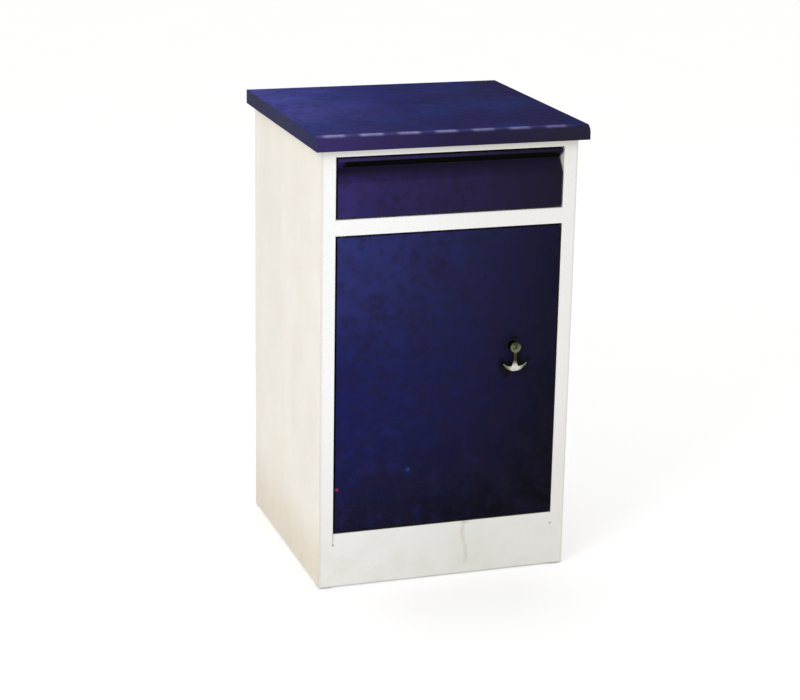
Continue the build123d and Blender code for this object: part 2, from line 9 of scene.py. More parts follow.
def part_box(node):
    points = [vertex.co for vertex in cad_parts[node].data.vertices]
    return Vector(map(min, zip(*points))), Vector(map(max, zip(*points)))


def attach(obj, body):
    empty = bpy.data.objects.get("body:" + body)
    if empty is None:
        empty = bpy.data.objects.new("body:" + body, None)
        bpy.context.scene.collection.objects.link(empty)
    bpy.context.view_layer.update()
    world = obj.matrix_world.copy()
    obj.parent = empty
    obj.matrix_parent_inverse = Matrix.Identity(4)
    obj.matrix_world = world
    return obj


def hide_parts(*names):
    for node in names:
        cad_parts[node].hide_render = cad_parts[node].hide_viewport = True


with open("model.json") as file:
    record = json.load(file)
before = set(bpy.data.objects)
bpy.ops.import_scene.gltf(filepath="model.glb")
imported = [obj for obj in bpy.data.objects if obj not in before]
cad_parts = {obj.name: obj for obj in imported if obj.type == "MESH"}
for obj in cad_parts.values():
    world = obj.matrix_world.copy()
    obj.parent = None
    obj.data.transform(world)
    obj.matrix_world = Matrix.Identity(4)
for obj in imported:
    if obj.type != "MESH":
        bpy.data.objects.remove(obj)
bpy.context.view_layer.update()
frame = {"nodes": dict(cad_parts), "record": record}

# ---------------------------------------------------------------- places taken from the frame

MM = 0.001
top_low, top_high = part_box("top_laminate")
body_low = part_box("left_side_panel")[0]
plinth_low, plinth_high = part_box("plinth_panel")
rail_low, rail_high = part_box("mid_rail")
upper_rail_low, upper_rail_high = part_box("top_rail")
door_low, door_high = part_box("door_skin")
drawer_low, drawer_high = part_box("drawer_front")
anchor_low, anchor_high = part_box("anchor_handle")
plug_low, plug_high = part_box("lock_plug")
front_y = plinth_low.y
opening = plinth_high.x  # half the width between the stiles
body_side = -body_low.x  # half the body's width
handle_centre = (plug_low + plug_high) / 2

laminate = 1 * MM  # thickness of the blue sheet
nose_radius = 14 * MM  # of the top's rounded front edge
bend = 1.5 * MM  # outside radius of the folded steel
grip_lip = 5 * MM  # the drawer's folded grip, measured down from the drawer's top edge
grip_apex = 18.5 * MM
grip_end = 42 * MM
seam_open = 21 * MM  # how far the left seam is open below the plinth's top edge
# The pale patches are a painted highlight along the top's rounded front edge.
highlight_pitch = 66 * MM  # from one pale patch on the top's front edge to the next
highlight_start = -212 * MM  # x of the first patch


# ---------------------------------------------------------------- building blocks for materials

class Graph:
    """The nodes of one material or world. Each method adds a step and gives back its output socket."""

    def __init__(self, tree, place="Object"):
        self.tree = tree
        self.place = self.node("ShaderNodeTexCoord").outputs[place]

    def node(self, kind, **settings):
        made = self.tree.nodes.new(kind)
        for key, value in settings.items():
            setattr(made, key, value)
        return made

    def feed(self, socket, value):
        if isinstance(value, bpy.types.NodeSocket):
            self.tree.links.new(value, socket)
        elif isinstance(value, (tuple, list)) and len(value) == 3 and socket.type == "RGBA":
            socket.default_value = (*value, 1)
        else:
            socket.default_value = value

    def math(self, operation, first, second=0.0, third=0.0):
        step = self.node("ShaderNodeMath", operation=operation)
        for socket, value in zip(step.inputs, (first, second, third)):
            self.feed(socket, value)
        return step.outputs[0]

    def both(self, *shares):
        """The product of several shares: 1 only where all of them are 1."""
        result = shares[0]
        for share in shares[1:]:
            result = self.math("MULTIPLY", result, share)
        return result

    def length(self, first, second):
        """The distance that two parts at right angles to each other make."""
        squares = [self.math("MULTIPLY", part, part) for part in (first, second)]
        return self.math("SQRT", self.math("ADD", *squares))

    def axis(self, letter, source=None):
        """One part of a place or direction; without a source, of the place in the object's own frame."""
        step = self.node("ShaderNodeSeparateXYZ")
        self.feed(step.inputs[0], self.place if source is None else source)
        return step.outputs[letter]

    def stretched(self, stretch, shift=0.0):
        step = self.node("ShaderNodeMapping")
        self.feed(step.inputs["Vector"], self.place)
        step.inputs["Scale"].default_value = stretch
        step.inputs["Location"].default_value = (shift, shift, shift)
        return step.outputs[0]

    def noise(self, scale, detail=2.0, stretch=(1, 1, 1), shift=0.0):
        """Soft noise from 0 to 1 with about `scale` blotches to the metre."""
        step = self.node("ShaderNodeTexNoise")
        self.feed(step.inputs["Vector"], self.stretched(stretch, shift))
        step.inputs["Scale"].default_value = scale
        step.inputs["Detail"].default_value = detail
        return step.outputs["Fac"]

    def cells(self, scale, output="Distance", stretch=(1, 1, 1)):
        """Voronoi cells, about `scale` of them to the metre."""
        step = self.node("ShaderNodeTexVoronoi")
        self.feed(step.inputs["Vector"], self.stretched(stretch))
        step.inputs["Scale"].default_value = scale
        return step.outputs[output]

    def cell_shade(self, scale, stretch=(1, 1, 1)):
        """One grey value for each cell."""
        shade = self.node("ShaderNodeRGBToBW")
        self.feed(shade.inputs[0], self.cells(scale, "Color", stretch))
        return shade.outputs[0]

    def span(self, value, low, high, start=0.0, end=1.0, kind="SMOOTHSTEP"):
        """Takes low..high smoothly to start..end, and holds there outside it."""
        step = self.node("ShaderNodeMapRange", interpolation_type=kind)
        for socket, number in zip(step.inputs, (value, low, high, start, end)):
            self.feed(socket, number)
        return step.outputs[0]

    def ramp(self, value, low, high, start=0.0, end=1.0):
        """Takes low..high evenly to start..end, and holds there outside it."""
        return self.span(value, low, high, start, end, "LINEAR")

    def mix(self, share, first, second):
        step = self.node("ShaderNodeMix", data_type="RGBA")
        colours = [socket for socket in step.inputs if socket.type == "RGBA"]
        self.feed(step.inputs["Factor"], share)
        self.feed(colours[0], first)
        self.feed(colours[1], second)
        return [socket for socket in step.outputs if socket.type == "RGBA"][0]

    def bump(self, height, depth, normal=None):
        """Relief of the given depth in metres."""
        step = self.node("ShaderNodeBump")
        step.inputs["Distance"].default_value = depth
        self.feed(step.inputs["Height"], height)
        if normal is not None:
            self.feed(step.inputs["Normal"], normal)
        return step.outputs[0]


class Finish(Graph):
    """A material that ends in one Principled shader."""

    def __init__(self, name):
        self.material = bpy.data.materials.new(name)
        self.material.use_nodes = True
        super().__init__(self.material.node_tree)
        self.shader = self.tree.nodes["Principled BSDF"]

    def end(self, colour, roughness, normal, **others):
        self.feed(self.shader.inputs["Base Color"], colour)
        self.feed(self.shader.inputs["Roughness"], roughness)
        self.feed(self.shader.inputs["Normal"], normal)
        for key, value in others.items():
            self.feed(self.shader.inputs[key.replace("_", " ")], value)
        return self.material


def paint_relief(graph):
    """Orange peel in sprayed paint over sheet steel that isn't quite flat."""
    peel = graph.bump(graph.noise(520, detail=1.0), 0.025 * MM)
    return graph.bump(graph.noise(7, detail=1.0), 0.2 * MM, peel)


# ---------------------------------------------------------------- materials

def white_enamel(name="white_enamel_paint", around_plinth=False):
    """White sprayed enamel, with painted light: a warmer, creamier painted tone on the outer sides standing
    for the warm light there, painted shade in the folds, under the top and towards the front's right and
    bottom, and darker, browner patches towards the floor.
    """
    graph = Finish(name)
    shaded = (0.56, 0.57, 0.50)
    low_darkening_height = 150 * MM
    under_top_height = 26 * MM
    x = graph.axis("X")
    y = graph.axis("Y")
    z = graph.axis("Z")
    beside = graph.math("ABSOLUTE", x)
    clean = graph.mix(graph.noise(9, detail=3.0), (0.85, 0.85, 0.845), (0.88, 0.88, 0.88))
    # Painted light: the outer sides take a warmer, creamier tone that stands for the warm light falling on
    # them; the bands and patches within it are the paint's own uneven tone.
    outer_side = graph.span(beside, body_side - 1.2 * MM, body_side - 0.3 * MM)
    bands = graph.span(graph.noise(24, detail=3.0, stretch=(1, 1, 0.16)), 0.30, 0.70)
    side_tone_and_warm_light = graph.mix(bands, (0.82, 0.79, 0.73), (0.855, 0.83, 0.775))
    pinker = graph.span(graph.noise(16, detail=4.0), 0.40, 0.70, 0, 0.55)
    side_tone_and_warm_light = graph.mix(pinker, side_tone_and_warm_light, (0.825, 0.775, 0.715))
    yellower = graph.span(graph.noise(22, detail=4.0, shift=3.7), 0.50, 0.75, 0, 0.5)
    side_tone_and_warm_light = graph.mix(yellower, side_tone_and_warm_light, (0.80, 0.785, 0.69))
    # Painted shade: the front is painted greyer towards its right and its bottom, where less light reaches
    # it.
    rightwards = graph.span(x, -0.15, 0.12, 0, 0.58)
    downwards = graph.span(z, 0.40, 0.08, 0, 0.60)
    front_with_falloff_shade = graph.mix(graph.math("ADD", rightwards, downwards), clean, (0.74, 0.735, 0.705))
    # Darker and browner towards the floor on the outer sides.
    low_side = graph.span(z, low_darkening_height, 0.0, 0, 0.60)
    colour = graph.mix(outer_side, front_with_falloff_shade, graph.mix(low_side, side_tone_and_warm_light, (0.72, 0.665, 0.55)))
    speckle = graph.span(graph.noise(230, detail=3.0), 0.50, 0.75, 0, 0.34)
    colour = graph.mix(speckle, colour, (0.70, 0.70, 0.66))
    # Painted shade along the front folds, greyer where the side turns into the stile.
    fold = graph.both(
        graph.span(beside, body_side - 5 * MM, body_side - 0.5 * MM),
        graph.span(y, front_y + 6 * MM, front_y + 0.5 * MM),
    )
    colour = graph.mix(graph.both(fold, 0.55), colour, shaded)
    # Painted shadow under the top's overhang.
    under_top = graph.span(z, top_low.z - under_top_height, top_low.z, 0, 0.28)
    colour = graph.mix(under_top, colour, shaded)
    # Darker, browner patches towards the floor.
    patchy = graph.span(graph.noise(26, detail=4.0), 0.35, 0.75, 0.10, 0.32)
    low_darkening = graph.both(graph.span(z, low_darkening_height, 0.0), patchy)
    colour = graph.mix(low_darkening, colour, (0.58, 0.53, 0.42))
    if around_plinth:
        colour = plinth_marks(graph, colour, x, y, z, beside)
    rough = graph.span(graph.noise(14, detail=3.0), 0.3, 0.7, 0.38, 0.5)
    return graph.end(colour, rough, paint_relief(graph), Specular_IOR_Level=0.4)


def plinth_marks(graph, colour, x, y, z, beside):
    """Old marks on and round the plinth, from the run-down stain to the painted shade, with some soiling,
    behind the door's edges.
    """
    colour = run_down_stain(graph, colour, x, z)
    colour = seam_marks(graph, colour, x, z, beside)
    return gap_shade_and_soiling(graph, colour, y, z, beside)


def run_down_stain(graph, colour, x, z):
    """A stain that has run down the plinth in a slow wave, from a smudge under the door."""
    stain_x = 42 * MM
    swing = graph.math("SINE", graph.math("MULTIPLY_ADD", z, 70.0, -1.0))
    path = graph.math("MULTIPLY_ADD", swing, 4.5 * MM, stain_x - 2 * MM)
    aside = graph.math("ABSOLUTE", graph.math("SUBTRACT", x, path))
    run = graph.both(
        graph.span(aside, 6.5 * MM, 0.6 * MM),
        graph.span(z, 12 * MM, 30 * MM),
        graph.span(graph.noise(70, detail=3.0), 0.30, 0.60, 0.35, 1.0),
        0.38,
    )
    colour = graph.mix(run, colour, (0.42, 0.37, 0.27))
    smudge = graph.both(
        graph.span(graph.math("ABSOLUTE", graph.math("SUBTRACT", x, stain_x)), 14 * MM, 3 * MM),
        graph.span(z, plinth_high.z - 9 * MM, plinth_high.z - 1 * MM),
        graph.noise(90, detail=3.0),
        0.6,
    )
    return graph.mix(smudge, colour, (0.34, 0.33, 0.25))


def seam_marks(graph, colour, x, z, beside):
    """Grey dirt along the left seam's open slit, and a pit at that height in both seams."""
    seam_end = plinth_high.z - seam_open
    from_seam = graph.math("SUBTRACT", beside, opening)
    smear = graph.both(
        graph.span(graph.math("ABSOLUTE", from_seam), 2.5 * MM, 0.5 * MM),
        graph.span(z, seam_end - 2 * MM, seam_end + 2 * MM),
        graph.span(z, plinth_high.z + 2 * MM, plinth_high.z - 2 * MM),
        graph.math("LESS_THAN", x, 0.0),
        0.3,
    )
    colour = graph.mix(smear, colour, (0.40, 0.43, 0.39))
    distance = graph.length(from_seam, graph.math("SUBTRACT", z, seam_end))
    pit = graph.span(distance, 3.6 * MM, 0.8 * MM, 0, 0.6)
    return graph.mix(pit, colour, (0.20, 0.24, 0.20))


def gap_shade_and_soiling(graph, colour, y, z, beside):
    """Painted shade, with some soiling, just inside the door's opening, on the plinth's top and on the
    stiles.
    """
    within = graph.both(
        graph.span(y, front_y + 0.6 * MM, front_y + 1.4 * MM),
        graph.span(y, front_y + 16 * MM, front_y + 9 * MM),
    )
    on_top = graph.both(
        graph.math("LESS_THAN", beside, opening + 0.3 * MM),
        graph.span(z, plinth_high.z - 1.2 * MM, plinth_high.z - 0.4 * MM),
        graph.math("LESS_THAN", z, plinth_high.z + 1 * MM),
    )
    from_jamb = graph.math("ABSOLUTE", graph.math("SUBTRACT", beside, opening))
    on_jamb = graph.both(
        graph.math("LESS_THAN", from_jamb, 0.3 * MM),
        graph.math("GREATER_THAN", z, plinth_high.z),
        graph.math("LESS_THAN", z, rail_low.z),
    )
    # Painted shade, with some soiling, in the narrow gap behind the door's edges.
    dirt_and_shade = graph.both(within, graph.math("MAXIMUM", on_top, on_jamb), 0.9)
    return graph.mix(dirt_and_shade, colour, (0.05, 0.055, 0.045))


def blue_enamel(name, top_left, top_right, low_left, low_right, box, halfway=None, grip=False, marks=()):
    """Navy sprayed enamel with painted light: lighter at its upper left as a painted sheen and nearly black
    at its lower right as painted shade.

    The four colours are for the corners of its box, and halfway is for the middle of its left edge.
    Each mark is (x, z, radius, colour)."""
    graph = Finish(name)
    low, high = box
    x = graph.axis("X")
    y = graph.axis("Y")
    z = graph.axis("Z")
    # Painted light: the corner colours and the halfway colour are painted sheen and shade, and the lit share
    # lets the bluer flecks show only where the painted sheen is.
    across = graph.math("POWER", graph.ramp(x, low.x, high.x), 0.65)
    down = graph.ramp(z, high.z, low.z)
    colour = graph.mix(down, graph.mix(across, top_left, top_right), graph.mix(across, low_left, low_right))
    lit = graph.math("MULTIPLY", graph.math("SUBTRACT", 1.0, across), 0.8)
    if halfway:
        middle = graph.both(graph.span(down, 0.15, 0.50), graph.span(down, 1.00, 0.55), 0.9, lit)
        colour = graph.mix(middle, colour, halfway)
    cloud = graph.span(graph.noise(20, detail=3.0), 0.40, 0.70, 0, 0.34)
    colour = graph.mix(cloud, colour, (0.012, 0.006, 0.030))
    bluer = graph.both(graph.span(graph.noise(34, detail=4.0, shift=2.3), 0.48, 0.70), 0.42, lit)
    colour = graph.mix(bluer, colour, (0.011, 0.020, 0.150))
    dusky = graph.span(graph.noise(62, detail=3.0, shift=5.1), 0.46, 0.68, 0, 0.38)
    colour = graph.mix(dusky, colour, (0.010, 0.007, 0.022))
    fleck = graph.both(graph.span(graph.noise(190, detail=2.0), 0.55, 0.72), 0.30, lit)
    colour = graph.mix(fleck, colour, (0.022, 0.020, 0.130))
    depth = graph.math("SUBTRACT", y, front_y)
    if grip:
        colour = grip_shade(graph, colour, x, z, depth)
    # Painted shade on the left edge's side faces, which stand in the narrow gap beside the stile.
    left_gap_shade = graph.both(
        graph.span(depth, 0.5 * MM, 1.3 * MM),
        graph.span(x, low.x + 1.4 * MM, low.x + 0.7 * MM),
    )
    colour = graph.mix(left_gap_shade, colour, (0.004, 0.006, 0.003))
    ragged = graph.math("MULTIPLY_ADD", graph.noise(160, detail=3.0), 5 * MM, -2.5 * MM)
    for mark_x, mark_z, radius, tint in marks:
        away_x = graph.math("SUBTRACT", x, mark_x)
        away_z = graph.math("SUBTRACT", z, mark_z)
        distance = graph.math("ADD", graph.length(away_x, away_z), ragged)
        colour = graph.mix(graph.span(distance, radius, 0.4 * radius, 0, 0.85), colour, tint)
    rough = graph.span(graph.noise(18, detail=3.0), 0.3, 0.7, 0.40, 0.50)
    return graph.end(colour, rough, paint_relief(graph), Specular_IOR_Level=0.12)


def grip_shade(graph, colour, x, z, depth):
    """Painted shade inside the drawer's folded grip: near black under the lip and darker down the lower
    flank.
    """
    down = graph.math("SUBTRACT", drawer_high.z, z)
    upper = graph.both(
        graph.span(depth, 0.2 * MM, 1.0 * MM),
        graph.span(down, grip_apex + 0.6 * MM, grip_apex - 0.6 * MM),
        graph.span(down, grip_lip - 2 * MM, grip_lip - 1 * MM),
        graph.span(x, drawer_low.x + 6 * MM, drawer_low.x + 18 * MM),
    )
    lower = graph.both(
        graph.span(depth, 0.4 * MM, 15 * MM),
        graph.span(down, grip_apex - 1 * MM, grip_apex + 1 * MM),
        graph.span(down, grip_end + 1 * MM, grip_end - 1 * MM),
    )
    colour = graph.mix(lower, colour, (0.013, 0.008, 0.030))
    return graph.mix(upper, colour, (0.004, 0.0055, 0.0016))


def blue_laminate():
    """Satin royal-blue laminate; its front is more violet. Painted light: lighter towards the left as a
    painted sheen, darker to the right and towards the front edge, and a dashed painted highlight along its
    rounded edge.
    """
    graph = Finish("blue_laminate_sheet")
    x = graph.axis("X")
    y = graph.axis("Y")
    z = graph.axis("Z")
    # Painted light: the top is painted lighter at its left as a sheen and darker towards the right and the
    # front edge.
    across = graph.ramp(x, top_low.x, top_high.x)
    from_front = graph.math("SUBTRACT", y, top_low.y)
    left_part = graph.mix(graph.ramp(across, 0.0, 0.45), (0.088, 0.096, 0.48), (0.021, 0.024, 0.205))
    colour = graph.mix(graph.ramp(across, 0.45, 1.0), left_part, (0.017, 0.015, 0.100))
    towards_front = graph.ramp(from_front, 0.36, 0.02, 0, 0.68)
    colour = graph.mix(towards_front, colour, (0.016, 0.011, 0.090))
    cloud = graph.span(graph.noise(11, detail=3.0), 0.38, 0.72, 0, 0.34)
    colour = graph.mix(cloud, colour, (0.014, 0.013, 0.085))
    bluer = graph.both(graph.span(graph.noise(8, detail=3.0, shift=1.7), 0.45, 0.65), 0.50)
    colour = graph.mix(bluer, colour, (0.012, 0.034, 0.210))
    dusky = graph.span(graph.noise(70, detail=4.0), 0.45, 0.68, 0, 0.36)
    colour = graph.mix(dusky, colour, (0.014, 0.010, 0.062))
    grain = graph.span(graph.noise(330, detail=2.0), 0.45, 0.65, 0, 0.30)
    colour = graph.mix(grain, colour, (0.016, 0.012, 0.070))
    # Painted light on the front too: lighter at its left, darker at its right.
    front_left = graph.mix(graph.ramp(across, 0.0, 0.5), (0.034, 0.021, 0.118), (0.014, 0.009, 0.050))
    front_colour = graph.mix(graph.ramp(across, 0.5, 1.0), front_left, (0.016, 0.013, 0.031))
    fronting = graph.span(from_front, 12 * MM, 5 * MM)
    colour = graph.mix(fronting, colour, front_colour)
    # Painted highlight: pale dashes along the rounded front edge.
    edge_highlight = arris_highlight(graph, x, z, from_front)
    pale = graph.mix(across, (0.36, 0.34, 0.64), (0.15, 0.14, 0.36))
    colour = graph.mix(edge_highlight, colour, pale)
    rough = graph.span(graph.noise(60, detail=3.0), 0.3, 0.7, 0.36, 0.48)
    relief = graph.bump(graph.noise(900, detail=1.0), 0.02 * MM)
    return graph.end(colour, rough, relief, Specular_IOR_Level=0.14)


def arris_highlight(graph, x, z, from_front):
    """Share of painted highlight: a dashed pale line where the top starts to round over to its front."""
    band = graph.both(graph.span(from_front, 4 * MM, 11 * MM), graph.span(from_front, 21 * MM, 13 * MM))
    wobble = graph.math("MULTIPLY", graph.noise(30, detail=2.0), 0.7)
    wave = 2 * math.pi / highlight_pitch  # radians to the metre
    lag = 0.35  # radians
    steady = graph.math("MULTIPLY_ADD", x, wave, -wave * highlight_start - lag)
    patch = graph.span(graph.math("COSINE", graph.math("ADD", steady, wobble)), -0.75, 0.35, 0.12, 1.0)
    uneven = graph.span(graph.noise(55, detail=2.0), 0.3, 0.7, 0.7, 1.0)
    last = graph.span(x, 222 * MM, 212 * MM)
    outside = graph.span(z, top_high.z - 5 * MM, top_high.z - 4 * MM)
    return graph.both(band, patch, uneven, last, outside, 0.9)


def edge_band():
    """Dull navy edging, bleached to slate towards the back, with the fine ribs that its extrusion leaves."""
    graph = Finish("edge_band_strip")
    cloud = graph.noise(40, detail=3.0)
    fresh = graph.mix(cloud, (0.016, 0.017, 0.086), (0.021, 0.022, 0.104))
    faded = graph.mix(cloud, (0.022, 0.024, 0.078), (0.030, 0.032, 0.098))
    colour = graph.mix(graph.span(graph.axis("Y"), -0.20, 0.0), fresh, faded)
    ribs = graph.noise(200, detail=1.0, stretch=(1, 0.05, 4))
    rough = graph.span(cloud, 0.3, 0.7, 0.5, 0.62)
    return graph.end(colour, rough, graph.bump(ribs, 0.03 * MM), Specular_IOR_Level=0.25)


def zinc_steel():
    """Bright zinc plate with a faint spangle and rolling marks."""
    graph = Finish("zinc_plate")
    colour = graph.mix(graph.cell_shade(140), (0.56, 0.57, 0.58), (0.68, 0.69, 0.70))
    lines = graph.noise(300, detail=2.0, stretch=(1, 0.04, 1))
    rough = graph.span(lines, 0.3, 0.7, 0.30, 0.46)
    return graph.end(colour, rough, graph.bump(lines, 0.02 * MM), Metallic=1.0)


def plate_with_painted_light(name, bright):
    """Thin yellowed plate on a casting, with painted light: a bright painted highlight on the crescent's
    crown, painted dark reflections on its waist and its sides, and painted shade on the top of the hub.
    """
    graph = Finish(name)
    x = graph.axis("X")
    y = graph.axis("Y")
    z = graph.axis("Z")
    normal = graph.node("ShaderNodeTexCoord").outputs["Normal"]
    fronting = graph.span(graph.axis("Y", normal), -0.30, -0.85)
    deep = graph.span(y, anchor_low.y + 4.5 * MM, anchor_low.y + 8 * MM)
    below = graph.math("SUBTRACT", handle_centre.z, z)
    aside = graph.math("ABSOLUTE", graph.math("SUBTRACT", x, handle_centre.x))
    arm = graph.span(below, 22 * MM, 34 * MM)
    crown = graph.both(arm, graph.span(aside, 17 * MM, 5 * MM))
    waist = graph.both(
        graph.span(below, 8 * MM, 12 * MM),
        graph.span(below, 32 * MM, 22 * MM),
        graph.span(aside, 9 * MM, 6 * MM),
    )
    on_hub = graph.span(below, 10 * MM, 6 * MM, 0, 0.45)
    # Painted light: the tones on the hub, arms, crown and waist are painted reflections, with a painted
    # highlight on the crown.
    colour = graph.mix(on_hub, bright, (0.24, 0.28, 0.12))
    colour = graph.mix(arm, colour, (0.44, 0.46, 0.26))
    colour = graph.mix(crown, colour, (1.0, 1.0, 0.93))
    colour = graph.mix(waist, colour, (0.13, 0.13, 0.05))
    dull = graph.span(graph.noise(240, detail=3.0), 0.45, 0.70, 0, 0.45)
    colour = graph.mix(dull, colour, (0.20, 0.21, 0.09))
    # Painted shade on the top of the hub.
    hub_top = graph.span(below, -1 * MM, -7 * MM, 0, 0.85)
    colour = graph.mix(hub_top, colour, (0.05, 0.09, 0.02))
    # Painted dark reflections on the casting's sides and deeper parts.
    painted_dark_sides = graph.math("MAXIMUM", graph.math("SUBTRACT", 1.0, fronting), deep)
    colour = graph.mix(painted_dark_sides, colour, (0.014, 0.016, 0.005))
    rough = graph.span(graph.noise(120, detail=3.0), 0.3, 0.7, 0.30, 0.44)
    pits = graph.bump(graph.noise(900, detail=2.0), 0.03 * MM)
    relief = graph.bump(graph.noise(160, detail=1.0), 0.10 * MM, pits)
    # Less metal where the crown's painted highlight is, so it reads pale.
    metallic_under_highlight = graph.math("MULTIPLY_ADD", crown, -0.45, 1.0)
    return graph.end(colour, rough, relief, Metallic=metallic_under_highlight)


def moulded(name, colour, second, rough_low, rough_high, scale=250):
    """Moulded plastic or rubber with a fine matt skin."""
    graph = Finish(name)
    cloud = graph.noise(45, detail=3.0)
    tone = graph.mix(cloud, colour, second)
    rough = graph.span(cloud, 0.3, 0.7, rough_low, rough_high)
    return graph.end(tone, rough, graph.bump(graph.noise(scale, detail=2.0), 0.03 * MM))


def particle_board():
    """Pressed wood chips of several browns, seen on the underside of the top."""
    graph = Finish("particle_board_chips")
    shade = graph.span(graph.cell_shade(170, (1, 0.6, 1)), 0.2, 0.8)
    chip = graph.mix(shade, (0.30, 0.20, 0.11), (0.56, 0.43, 0.27))
    fine = graph.mix(graph.span(graph.noise(700, detail=3.0), 0.4, 0.7, 0, 0.5), chip, (0.22, 0.15, 0.09))
    return graph.end(fine, 0.8, graph.bump(graph.cells(170), 0.15 * MM), Specular_IOR_Level=0.2)


# Painted shadow: dark blotches on the door round the anchor handle, where its shadow falls.
handle_shadow = (0.0030, 0.0042, 0.0014)
red_fleck = (door_low.x + 3 * MM, 184 * MM, 3.4 * MM, (0.34, 0.01, 0.06))
blue_smudge = (-69 * MM, 210 * MM, 5 * MM, (0.016, 0.038, 0.22))
painted_shadow_round_handle = [
    (handle_centre.x + u * MM, handle_centre.z + v * MM, size * MM, handle_shadow)
    for u, v, size in (
        (3.4, 11, 10), (12.6, -20.8, 7.5), (15.7, -31.9, 9), (29, -29.4, 6.5), (23, -45, 5),
        (-5.1, -35.5, 7.5), (-18.6, -29.4, 9.5), (-19.8, -40.4, 9), (-11.3, -51.5, 9.5),
    )
]
door_blue = blue_enamel(
    "blue_enamel_door",
    (0.026, 0.031, 0.170), (0.0050, 0.0042, 0.024),
    (0.0036, 0.0036, 0.027), (0.0013, 0.0013, 0.0030),
    (door_low, door_high), halfway=(0.002, 0.004, 0.090),
    marks=[red_fleck, blue_smudge, *painted_shadow_round_handle],
)
drawer_blue = blue_enamel(
    "blue_enamel_drawer",
    (0.036, 0.021, 0.125), (0.011, 0.0062, 0.018),
    (0.031, 0.020, 0.128), (0.010, 0.0062, 0.022),
    (drawer_low, drawer_high), grip=True,
)
plinth_white = white_enamel("white_enamel_plinth", around_plinth=True)
finishes = {
    "white_enamel": white_enamel(),
    "blue_enamel": door_blue,
    "blue_laminate": blue_laminate(),
    "edge_band": edge_band(),
    "particle_board": particle_board(),
    "zinc_steel": zinc_steel(),
    "handle_chrome": plate_with_painted_light("handle_plate", (0.62, 0.66, 0.42)),
    "lock_metal": plate_with_painted_light("lock_plate", (0.34, 0.36, 0.20)),
    "white_nylon": moulded("nylon", (0.74, 0.73, 0.69), (0.80, 0.79, 0.76), 0.40, 0.52),
    "black_plastic": moulded("black_moulding", (0.010, 0.011, 0.008), (0.02, 0.02, 0.016), 0.45, 0.58),
    "black_rubber": moulded("rubber", (0.012, 0.012, 0.012), (0.028, 0.027, 0.026), 0.7, 0.85, scale=500),
}
finish_of_node = {row["node"]: finishes[row["material_slot"]] for row in frame["record"]["subparts"]}
for node in ("plinth_panel", "left_side_panel", "right_side_panel"):
    finish_of_node[node] = plinth_white
finish_of_node["drawer_front"] = drawer_blue
for node, piece in frame["nodes"].items():
    for slot in piece.material_slots:
        slot.material = finish_of_node[node]


# ---------------------------------------------------------------- building blocks for pieces

def mesh_of(name, bm, smooth=True):
    bmesh.ops.recalc_face_normals(bm, faces=bm.faces)
    mesh = bpy.data.meshes.new(name)
    bm.to_mesh(mesh)
    bm.free()
    for face in mesh.polygons:
        face.use_smooth = smooth
    return mesh


def add_piece(name, mesh, material, body, replaced=()):
    """Puts a finished mesh in the scene, on its body and in its finish."""
    piece = bpy.data.objects.new(name, mesh)
    bpy.context.scene.collection.objects.link(piece)
    mesh.materials.append(material)
    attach(piece, body)
    if replaced:
        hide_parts(*replaced)
    return piece


def split_edges(piece, degrees):
    """Keeps edges sharper than this angle crisp under smooth shading."""
    crisp = piece.modifiers.new("crisp_edges", "EDGE_SPLIT")
    crisp.split_angle = math.radians(degrees)


def skin(bm, rings):
    """Joins rings of equally many points into a closed tube with a cap on each end."""
    made = [[bm.verts.new(point) for point in ring] for ring in rings]
    count = len(made[0])
    for first, second in zip(made, made[1:]):
        for i in range(count):
            j = (i + 1) % count
            bm.faces.new((first[i], first[j], second[j], second[i]))
    bm.faces.new(made[0])
    bm.faces.new(made[-1])


def turn_outline(bm, outline, points):
    """Turns an outline of (radius, y) points about the handle's axis."""
    rings = []
    for radius, y in outline:
        ring = []
        for i in range(points):
            turn = 2 * math.pi * i / points
            across = handle_centre.x + radius * math.cos(turn)
            ring.append((across, y, handle_centre.z + radius * math.sin(turn)))
        rings.append(ring)
    skin(bm, rings)


def oval(centre, across, deep, half_across, half_deep, draft=0.0, points=20, power=2.6):
    """A ring round a centre: a squarish oval with the given half sizes along two directions.

    The draft is how much wider it is each way at its deep end."""
    ring = []
    for i in range(points):
        turn = 2 * math.pi * i / points
        c = math.copysign(abs(math.cos(turn)) ** (2 / power), math.cos(turn))
        s = math.copysign(abs(math.sin(turn)) ** (2 / power), math.sin(turn))
        ring.append(centre + across * (c * (half_across + draft * (1 + s) / 2)) + deep * (s * half_deep))
    return ring


# ---------------------------------------------------------------- the top's laminate

def laminate_profile(dip):
    """Section (y, z) of the post-formed sheet: its outside from back to front, then its inside back again.

    The dip is how far the outside of the rounded edge stands back at its middle."""
    steps = 20
    centre_y = top_low.y + nose_radius
    centre_z = top_high.z - nose_radius
    outside = [(top_high.y, top_high.z)]
    inside = [(top_high.y, top_high.z - laminate)]
    for i in range(steps + 1):
        turn = math.pi / 2 * i / steps
        radius = nose_radius - dip * math.sin(2 * turn)
        outside.append((centre_y - radius * math.sin(turn), centre_z + radius * math.cos(turn)))
        radius = nose_radius - laminate
        inside.append((centre_y - radius * math.sin(turn), centre_z + radius * math.cos(turn)))
    outside.append((top_low.y, top_low.z))
    inside.append((top_low.y + laminate, top_low.z))
    return outside + inside[::-1]


